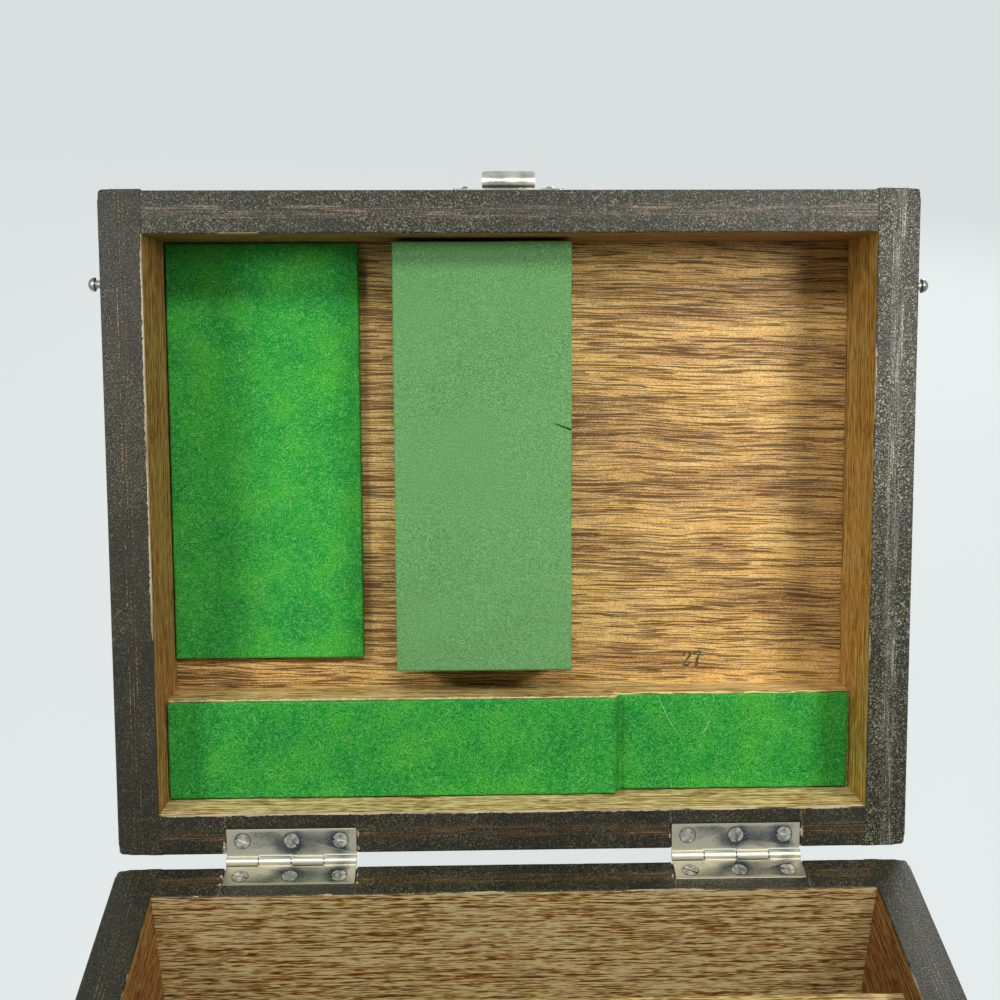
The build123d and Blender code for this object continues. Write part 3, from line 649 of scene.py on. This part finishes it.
def tube(rings):
    """A tube through some rings, drawn to a point at both ends: its points, and quads from ring to ring."""
    tips = [np.zeros_like(ring) + ring.mean(1, keepdims=True) for ring in (rings[:1], rings[-1:])]
    rings = np.concatenate([tips[0], rings, tips[1]])
    at = np.arange(rings[..., 0].size).reshape(rings.shape[:2])
    around = np.roll(at, -1, axis=1)
    return rings.reshape(-1, 3), np.stack([at[:-1], around[:-1], around[1:], at[1:]], -1).reshape(-1, 4)


def pen_bar(corners, half_widths, middle, face, thickness, flip=1, slant=0.0, count=40):
    """A pen stroke as a flat bar on a face that looks down: each ring is +-w side, at depths 0 and t. Past a
    corner b its line is (1 - u)^2 a + 2u (1 - u) b + u^2 c, with a and c halfway to the corners beside."""
    knots = np.array(corners, float)
    t = np.linspace(0, len(knots) - 2, count)
    index = np.minimum(t.astype(int), len(knots) - 3)
    u = (t - index)[:, None]
    start = np.where(index[:, None] == 0, knots[0], (knots[index] + knots[index + 1]) / 2)
    end = np.where(index[:, None] == len(knots) - 3, knots[-1], (knots[index + 1] + knots[index + 2]) / 2)
    line = (1 - u) ** 2 * start + 2 * u * (1 - u) * knots[index + 1] + u ** 2 * end
    heading = np.gradient(line, axis=0)
    heading = heading / np.linalg.norm(heading, axis=1, keepdims=True)
    half_width = np.interp(np.linspace(0, 1, count), np.linspace(0, 1, len(half_widths)), half_widths)
    path = np.column_stack([middle[0] + line[:, 0] + slant * line[:, 1], middle[1] + flip * line[:, 1],
                            np.full(count, face)])
    side = np.column_stack([-heading[:, 1], flip * heading[:, 0], np.zeros(count)])
    ring = np.array([(-1, 0), (1, 0), (1, 1), (-1, 1)], float)
    wide = half_width[:, None, None] * ring[None, :, :1] * side[:, None, :]
    return tube(path[:, None, :] + wide + ring[None, :, 1:] * (0, 0, -thickness))


# Each figure's offset, and its strokes as corners and half widths.
figures = {
    "stamp_first_figure": (-1.55, [
        ([(-1.0, 1.1), (-0.9, 2.3), (0.1, 2.45), (1.0, 1.9), (0.8, 0.7), (-0.6, -0.9), (-1.15, -2.1)],
         (0.34, 0.2, 0.22, 0.44, 0.4, 0.22, 0.18)),
        ([(-1.2, -2.1), (-0.4, -1.8), (0.4, -2.3), (1.1, -1.3)], (0.2, 0.4, 0.42, 0.16))]),
    "stamp_second_figure": (1.7, [
        ([(-1.0, 1.5), (-0.9, 2.3), (-0.2, 2.1), (0.6, 2.3), (1.1, 2.25)], (0.16, 0.36, 0.38, 0.3, 0.2)),
        ([(1.1, 2.25), (0.5, 1.1), (-0.1, -0.3), (-0.1, -2.3)], (0.2, 0.24, 0.4, 0.46))]),
}
stamp_ink = two_tone("stamping_ink", (0.5, 0.5, 0.5), 1.0, [(0.35, "#2c3320"), (0.75, "#5e5434")], 0.6, 0.01)
panel_face = drawn_box("lid_panel")[0][2]
for name, (offset, strokes) in figures.items():
    all_points, all_quads, count = [], [], 0
    middle = (stamp_middle[0] + offset, stamp_middle[1])
    for corners, half_widths in strokes:
        film = stamp_film * (1.3 if count else 1)
        points, quads = pen_bar(corners, half_widths, middle, panel_face, film, -1, stamp_slant)
        all_points.append(points)
        all_quads.append(quads + count)
        count += len(points)
    points = np.concatenate(all_points)
    add_piece(name, points, np.concatenate(all_quads), "lid", [stamp_ink], {"board": points})

# Boards inside the body
# A long board and two cross boards of varnished plywood, glued between the walls to part the bays.
divider_round = 0.5
divider_swell = (14, 0.05)
divider_steps = [(1.0, 0.25, 2.5)] * 3


def varnished(name, colours, roughness):
    """Varnished plywood for a whole piece: gold with brown streaks, under a soft gloss."""
    material, tree = new_material(name)
    varnish, streak = varnish_layers(tree, board_position(tree), colours)
    surface(tree, varnish, roughness, streak, 0.03)
    return material


def plain_block(node, steps, radius, swell, seed, material, order=(0, 1, 2), ends=None, bend=None):
    """A rounded block in the space of a CAD piece, its faces moved by noise with the size and depth in swell.
    It may be given its own ends and extra lines, and a bend, which moves the finished points."""
    low, high = ends[:2] if ends else drawn_box(node)
    lines = [low[i] + side_lines(high[i] - low[i], *steps[i]) for i in range(3)]
    if ends:
        lines[0] = np.union1d(lines[0], ends[2])
    points, quads = block_grid(lines)
    shape, _, direction = round_block(points, low, high, np.full(len(points), radius))
    size, depth = swell
    wave = lattice_noise(shape, size, seed) + 0.5 * lattice_noise(shape, size / 2.7, seed + 1)
    shape = shape + direction * (depth * (wave - 1.1))[:, None]
    values = {"board": shape[:, order]}
    if bend:
        shape, values["pressed"] = bend(shape)
    body = frame["nodes"][node]["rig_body"]
    return add_piece(node + "_shaped", shape, quads, body, [material], values, (node,))


divider_material = varnished("varnished_plywood", ("#8f6c32", "#c39a54", "#e8cd8c"), 0.4)
for node, order in (("long_divider", (0, 1, 2)), ("left_divider", (1, 0, 2)), ("right_divider", (1, 0, 2))):
    plain_block(node, divider_steps, divider_round, divider_swell, 41, divider_material,
                order)

# Felt in the bays and in the lid
# Dyed wool felt, 2 to 3 mm thick, cut with a knife and glued down: a soft, mottled nap that looks dry, with
# slightly fuzzy edges. Single wool fibres are too fine to show, so they are drawn coarser, crossed six ways.
felt_nap = (1.3, 0.22)
felt_round = 0.7
fibre_length = 2.4
fibre_thickness = 0.22
fibre_curl = 1.0
felt, tree = new_material("wool_felt")
board = board_position(tree)
cloud = stretched(tree, board, (12, 12, 12), 3.0)
spot = stretched(tree, board, (4, 4, 4), 3.0)
nap = stretched(tree, board, (0.36, 0.36, 0.36), 2.0)
curl = add_node(tree, "TexNoise", {"Vector": board, "Scale": 1 / 3, "Detail": 0.0})["Color"]
curled = add_node(tree, "VectorMath MULTIPLY_ADD", {0: curl, 1: (fibre_curl, fibre_curl, 0), 2: board})[0]
fibres = 0.0
for turn in (0.15, 0.65, 1.2, 1.75, 2.3, 2.85):
    hair = stretched(tree, curled, (fibre_length, fibre_thickness, 1.0), 0.0, turn=turn)
    fibres = add_node(tree, "Math MAXIMUM", {0: fibres, 1: hair})[0]
greens = [(0.34, "#1a9438"), (0.5, "#2aa437"), (0.66, "#42b135")]
base = add_node(tree, "ValToRGB", {0: cloud, "stops": greens})
base = tinted(tree, base[0], "#128045", spot, 0.56, 0.72, 0.4)
base = tinted(tree, base, "#84d276", fibres, 0.66, 0.8, 0.75)
base = tinted(tree, base, "#0c6a1c", nap, 0.52, 0.34, 0.9)
# Painted shade: the felt darkens on its fold down the batten's step.
pressed = add_node(tree, "Attribute", {"attribute_name": "pressed"})["Fac"]
base = add_node(tree, "MixRGB", {0: pressed, 1: base, 2: "#125c1e"})
surface(tree, base[0], 0.95, fibres, 0.2, 0.15)

felt_steps = [(1.2, 0.3, 0.8), (1.2, 0.3, 0.8), (0.9, 0.3, 0.6)]
floor_steps = [(1.2, 0.4, 1.6), (1.2, 0.4, 1.6), (0.6, 0.3, 0.6)]
for node in ("back_bay_felt", "left_bay_felt", "middle_bay_felt", "right_bay_felt"):
    low, high = drawn_box(node)
    piece = plain_block(node, floor_steps, felt_round, felt_nap, 51, felt)
low, high = drawn_box("lid_felt_pad")
piece = plain_block("lid_felt_pad", felt_steps, felt_round, felt_nap, 52, felt)

# Batten along the hinge side of the lid
# One strip of varnished plywood with a step in its height, glued along the panel and the back wall.
batten_round = 0.35
batten_swell = (9, 0.05)
batten_steps = [(0.9, 0.15, 2.0), (0.9, 0.15, 2.0), (1.2, 0.15, 2.0)]
cut_half_width = 0.08
cut_depth = 1.5
batten = frame["nodes"]["lid_batten"]
batten_corners = drawn_places(batten.data.vertices, "co", "lid")
batten_low, batten_high = drawn_box("lid_batten")
near_middle = np.abs(batten_corners[:, 0]) < 0.45 * (batten_high[0] - batten_low[0])
step_x = np.median(batten_corners[near_middle, 0])
low_face = batten_corners[batten_corners[:, 0] > batten_high[0] - 1, 2].min()
step_height = low_face - batten_low[2]


def over_step(shape, start, end, reach, crease=0.0):
    """Move the points right of the step down to its lower level: z' = z + h s(x) w(z) + c exp(-f^2), with s
    rising from 0 to 1 across the step, w fading over the board's thickness, and a crease c at the foot.
    Also gives the felt's painted shade on the fold, strongest halfway across the step."""
    width = end - start
    sway = 0.3 * width * (lattice_noise(shape * (0, 1, 0), 4.0, 57) - 0.5)
    rise = smooth_step(start + sway, end + sway, shape[:, 0])
    weight = np.clip((batten_high[2] - shape[:, 2]) / (batten_high[2] - batten_low[2] - reach), 0, 1)
    foot = np.exp(-((shape[:, 0] - end) / 0.7) ** 2)
    shape = shape.copy()
    shape[:, 2] += step_height * rise * weight + crease * foot
    return shape, 0.3 * np.exp(-((shape[:, 0] - (start + end) / 2) / (0.6 * width)) ** 2)


batten_wood = varnished("varnished_batten", ("#705220", "#c09a48", "#e8cd8c"), 0.42)
edge_lines = step_x + np.array([-0.1, -0.05, 0, 0.05, 0.1])
plain_block("lid_batten", batten_steps, batten_round, batten_swell, 55, batten_wood,
            ends=(batten_low, batten_high, edge_lines),
            bend=lambda shape: over_step(shape, step_x - cut_half_width, step_x + cut_half_width, cut_depth))

# Felt strip on the batten
# One strip of the same felt laid over the batten and folded down its step, with a thin line of dried glue
# along the front edge of its higher part: cream beads, darker where they are thin.
strip_setback = 0.5
strip_low, strip_high = drawn_box("batten_felt")
strip_low = strip_low + (0, strip_setback, 0)
strip_high = np.array([strip_high[0], strip_high[1], batten_low[2]])
fold_width = 2.2
fold_crease = 0.5
glue_radius = 0.3
glue_inset = 0.32
glue_pitch = 0.35
glue_sides = 8
fold_lines = np.arange(step_x - 3, step_x + 5, 0.25)
piece = plain_block("batten_felt", felt_steps, felt_round, felt_nap, 61, felt,
                    ends=(strip_low, strip_high, fold_lines),
                    bend=lambda shape: over_step(shape, step_x - 0.1, step_x + fold_width, 0.0, fold_crease))

# The bead of glue has round rings, (0, r cos a, r sin a) about its path.
dried_glue = two_tone("dried_glue", (1.2, 0.6, 0.6), 2.0, [(0.35, "#a8965a"), (0.6, "#ddd3a4")], 0.45, 0.05)
glue_x = np.arange(batten_low[0] + 0.5, step_x - 0.3, glue_pitch)
glue_path = np.column_stack([glue_x, np.full(len(glue_x), batten_low[1] + glue_inset),
                             np.full(len(glue_x), batten_low[2])])
glue_path[:, 1] += 0.15 * (lattice_noise(glue_path, 3.0, 65) - 0.5)
glue_radii = glue_radius * (0.35 + 1.1 * lattice_noise(glue_path, 1.7, 66))
turn = np.linspace(0, 2 * math.pi, glue_sides, endpoint=False)
ring = np.column_stack([np.zeros(glue_sides), np.cos(turn), np.sin(turn)])
points, quads = tube(glue_path[:, None, :] + glue_radii[:, None, None] * ring)
add_piece("batten_glue_line", points, quads, "lid", [dried_glue], {"board": points})

# Lint on the felt strip
# Two loose fibres caught in the nap of its lower part, each thinner than a quarter of a millimetre and so
# pale a green that they stand out from the felt.
lint = two_tone("pale_lint", (0.8, 0.8, 0.8), 1.0, [(0.35, "#86c67c"), (0.6, "#d2ecc8")], 0.7, 0.02)
lint_thickness = 0.16
lint_half_widths = (0.04, 0.08, 0.05, 0.07, 0.03)
lint_height = strip_low[2] + step_height + 0.05
lint_corners = {"long_lint": ((44.9, 55.0), (46.5, 58.8), (48.1, 61.9), (50.9, 66.7)),
                "short_lint": ((60.5, 62.4), (59.8, 64.6), (58.2, 66.1))}
for name, corners in lint_corners.items():
    points, quads = pen_bar(corners, lint_half_widths, (0, 0), lint_height, lint_thickness, count=30)
    add_piece(name, points, quads, "lid", [lint], {"board": points})

# Foam pad
# An 18 mm pad of grey-green closed-cell foam, cut square and glued beside the felt, with one short nick in
# its right side. It is dull and gritty, and its cut cells, too fine to show, are drawn coarser.
foam_round = 0.5
foam_swell = 0.25
foam_cell = 0.42
nick_y = -27.15
nick_reach = 5.5
nick_rise = 0.36
nick_half_width = 0.45
nick_depth = 1.6
foam_steps = [(1.0, 0.2, 1.2), (1.0, 0.2, 1.2), (1.0, 0.2, 1.5)]
foam, tree = new_material("closed_cell_foam")
board = board_position(tree)
cells = add_node(tree, "TexVoronoi", {"Vector": board, "Scale": 1 / foam_cell})
grit = stretched(tree, board, (0.3, 0.3, 0.3), 2.0)
cloud = stretched(tree, board, (25, 25, 25), 2.0)
greens = [(0.36, "#4a7f43"), (0.5, "#62975a"), (0.64, "#80b475")]
base = add_node(tree, "ValToRGB", {0: grit, "stops": greens})
base = tinted(tree, base[0], "#72ab6c", cloud, 0.35, 0.7, 0.25)
surface(tree, base, 0.85, cells["Distance"], 0.1, 0.3)
low, high = drawn_box("lid_foam_pad")
lines = [low[i] + side_lines(high[i] - low[i], *foam_steps[i]) for i in range(3)]
lines[0] = np.union1d(lines[0], np.arange(high[0] - 6, high[0] - 1, 0.4))
lines[1] = np.union1d(lines[1], nick_y + np.arange(-3.5, 1.05, 0.15))
points, quads = block_grid(lines)
shape, _, direction = round_block(points, low, high, np.full(len(points), foam_round))
wave = lattice_noise(shape, 18, 71) - 0.5
into = np.clip((shape[:, 0] - (high[0] - nick_reach)) / nick_reach, 0, 1)
nick_line = nick_y - nick_rise * (high[0] - shape[:, 0])
slit = into ** 0.5 * smooth_step(1.0, 0.0, np.abs(shape[:, 1] - nick_line) / nick_half_width)
shape = shape + direction * (foam_swell * wave)[:, None]
shape[:, 2] += nick_depth * slit * (direction[:, 2] < -0.5)
piece = add_piece("lid_foam_pad_shaped", shape, quads, "lid", [foam], {"board": shape}, ("lid_foam_pad",))

# Hinges, catch, hooks and studs
# Nickel-plated steel, stamped, rolled or turned. Handling has clouded the plating and scratched it finely,
# and every sheared edge is a little rounded.
leaf_half_length = 19.0
hinge_screw_pitch = 14.3
hinge_screw_reach = 6.2
hinge_screw_head = 2.35
screw_slot_depth = 0.55
knuckle_zone = (2.2, 1.7)
sharp_edge_degrees = 35
sheet_edge = 0.12
pressed_edge = 0.15
turned_edge = 0.08
screw_edge = 0.06


def plate_material(name, bright, clouded, cloud_size, roughness, shaded=None):
    """Nickel plate, a warm white metal: bright where worn and on a painted highlight, darker and smoother
    where it has clouded, with small dark pits and pale scratches. Painted shade lies where shaded says so."""
    material, tree = new_material(name)
    board = board_position(tree)
    cloud = stretched(tree, board, (cloud_size,) * 3, 1.0)
    speck = stretched(tree, board, (0.4, 0.4, 0.4), 2.0)
    scratch = stretched(tree, board, (7, 0.2, 0.2), 0.0, turn=0.7)
    rubbed = add_node(tree, "Attribute", {"attribute_name": "rubbed"})["Fac"]
    # Knuckles and leaf ends are kept unclouded: partly worn plating, partly a painted highlight.
    mixed = add_node(tree, "Math MULTIPLY_ADD", {0: rubbed, 1: -0.35, 2: cloud})
    mixed = add_node(tree, "Math MULTIPLY_ADD", {0: speck, 1: 0.25, 2: mixed[0]})
    dull = add_node(tree, "MapRange", {"Value": mixed[0], "From": (0.44, 0.76)})
    colour = add_node(tree, "MixRGB", {0: dull[0], 1: bright, 2: clouded})
    colour = tinted(tree, colour[0], "#4b4436", speck, 0.64, 0.72, 0.4)
    colour = tinted(tree, colour, "#efeadb", scratch, 0.72, 0.78, 0.3)
    rough = add_node(tree, "MapRange", {"Value": dull[0], "To": (roughness + 0.14, roughness)})
    # Painted shade: a dark colour where shaded says, round screw heads and on the walls of slots.
    if shaded:
        colour = add_node(tree, "MixRGB", {0: shaded(tree, board), 1: colour, 2: "#1d1912"})[0]
    surface(tree, colour, rough[0], speck, 0.02, metal=1.0)
    return material


def shade_round_head(tree, board):
    """Painted shade in the narrow ring round each screw head of a leaf. The screws repeat along it at their
    pitch.
    """
    place = add_node(tree, "SeparateXYZ", {0: board})
    along = add_node(tree, "Math PINGPONG", {0: place["X"], 1: hinge_screw_pitch / 2})
    inward = add_node(tree, "Math ADD", {0: place["Y"], 1: hinge_screw_reach})
    pair = add_node(tree, "CombineXYZ", {"X": along[0], "Y": inward[0]})
    distance = add_node(tree, "VectorMath LENGTH", {0: pair[0]})["Value"]
    away = add_node(tree, "Math SUBTRACT", {0: distance, 1: hinge_screw_head})
    away = add_node(tree, "Math ABSOLUTE", {0: away[0]})
    ring = add_node(tree, "MapRange", {"Value": away[0], "From": (0.2, 0.08), "To": (0, 0.75)})
    return ring[0]


def shade_in_slot(tree, board):
    """Painted shade on the walls of a slot: the attribute goes from 0 at the head's face to 1 at the slot's
    floor.
    """
    sunk = add_node(tree, "Attribute", {"attribute_name": "sunk"})["Fac"]
    return add_node(tree, "ValToRGB", {0: sunk, "stops": [(0.03, "#000000"), (0.15, "#b4b4b4"),
                                                          (0.6, "#606060"), (0.9, "#000000")]})[0]


def shade_round_and_in_slot(tree, board):
    """Both painted shades, for the heads in the hinges."""
    return add_node(tree, "Math MAXIMUM", {0: shade_round_head(tree, board), 1: shade_in_slot(tree, board)})[0]


# Leaves and hooks are mottled blue-grey, screw heads bright with dark slots, turned pieces a duller grey, and
# the catch and keeper the brightest.
leaf_plate = plate_material("worn_nickel_plated_steel", "#cdc8b5", "#535b61", 10.0, 0.26, shade_round_head)
head_plate = plate_material("nickel_plated_screw", "#dddbd1", "#9b9c97", 1.5, 0.25, shade_round_and_in_slot)
turned_plate = plate_material("turned_nickel_plate", "#8f8e88", "#5a5a55", 2.5, 0.25, shade_in_slot)
bright_plate = plate_material("bright_nickel_plate", "#d6d2c4", "#a5a297", 6.0, 0.24)


def softened(node, material, width, centre, face=(0, 0, 0)):
    """A copy of a CAD piece with its doubles merged, its flat faces joined and its edges a little rounded.
    It keeps each point's place about a centre, its wear and painted highlight, and its depth below a screw's
    face."""
    source = frame["nodes"][node]
    mesh = source.data.copy()
    mesh.name = node + "_softened"
    shape = bmesh.new()
    shape.from_mesh(mesh)
    bmesh.ops.remove_doubles(shape, verts=shape.verts, dist=1e-6)
    bmesh.ops.dissolve_limit(shape, angle_limit=math.radians(0.5), verts=shape.verts, edges=shape.edges)
    shape.to_mesh(mesh)
    shape.free()
    points = drawn_places(mesh.vertices, "co", source["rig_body"])
    board = points - centre
    # Knuckles and leaf ends are marked both for wear and for a painted highlight.
    knuckle = smooth_step(*knuckle_zone, np.hypot(board[:, 1], board[:, 2]))
    leaf_end = smooth_step(0.8, 1.0, np.abs(board[:, 0]) / leaf_half_length)
    height = points @ np.array(face, float)
    sunk = np.clip((height.max() - height) / screw_slot_depth, 0, 1)
    add_values(mesh, {"board": board, "rubbed": np.maximum(knuckle, leaf_end), "sunk": sunk})
    if "custom_normal" in mesh.attributes:
        mesh.attributes.remove(mesh.attributes["custom_normal"])
    mesh.shade_smooth()
    mesh.materials.clear()
    mesh.materials.append(material)
    piece = bpy.data.objects.new(node + "_softened", mesh)
    scene.collection.objects.link(piece)
    bevel = piece.modifiers.new("eased edges", "BEVEL")
    bevel.width = width / 1000
    bevel.segments = 2
    bevel.limit_method = "ANGLE"
    bevel.angle_limit = math.radians(sharp_edge_degrees)
    piece.modifiers.new("even shading", "WEIGHTED_NORMAL")
    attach(piece, source["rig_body"])
    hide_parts(node)


for side in ("left", "right"):
    low, high = drawn_box(side + "_hinge_pin")
    centre = ((low + high) / 2 * (1, 0, 0)) + hinge_place * (0, 1, 1)
    softened(side + "_hinge_body_leaf", leaf_plate, sheet_edge, centre)
    softened(side + "_hinge_lid_leaf", leaf_plate, sheet_edge, centre)
    softened(side + "_hinge_body_screws", head_plate, screw_edge, centre, (0, 0, 1))
    softened(side + "_hinge_lid_screws", head_plate, screw_edge, centre, (0, 0, -1))
    centre = sum(drawn_box(side + "_hook")) / 2
    softened(side + "_hook", leaf_plate, pressed_edge, centre)
    softened(side + "_hook_screw", turned_plate, turned_edge, centre)
    softened(side + "_hook_washer", turned_plate, turned_edge, centre)
    softened(side + "_stud", turned_plate, turned_edge, sum(drawn_box(side + "_stud")) / 2)
centre = sum(drawn_box("catch_base")) / 2
softened("catch_base", bright_plate, sheet_edge, centre)
softened("catch_lever", bright_plate, pressed_edge, centre)
softened("catch_base_screws", turned_plate, screw_edge, centre)
softened("keeper", bright_plate, sheet_edge, sum(drawn_box("keeper")) / 2)
softened("keeper_screws", turned_plate, screw_edge, centre)

# The pins and the bail keep their solids' shapes: bright drawn wire with a faint fine grain.
plain_nickel, tree = new_material("drawn_nickel_plated_wire")
place = add_node(tree, "TexCoord", {})["Object"]
drawn_lines = add_node(tree, "TexNoise", {"Vector": place, "Scale": 900.0})
tone = add_node(tree, "ValToRGB", {0: drawn_lines[0], "stops": [(0.3, "#a9a699"), (0.7, "#cfcbbd")]})
surface(tree, tone[0], 0.25, drawn_lines[0], 0.02, metal=1.0)
for node in ("left_hinge_pin", "right_hinge_pin", "catch_lever_pin", "catch_bail"):
    frame["nodes"][node].data.materials[0] = plain_nickel
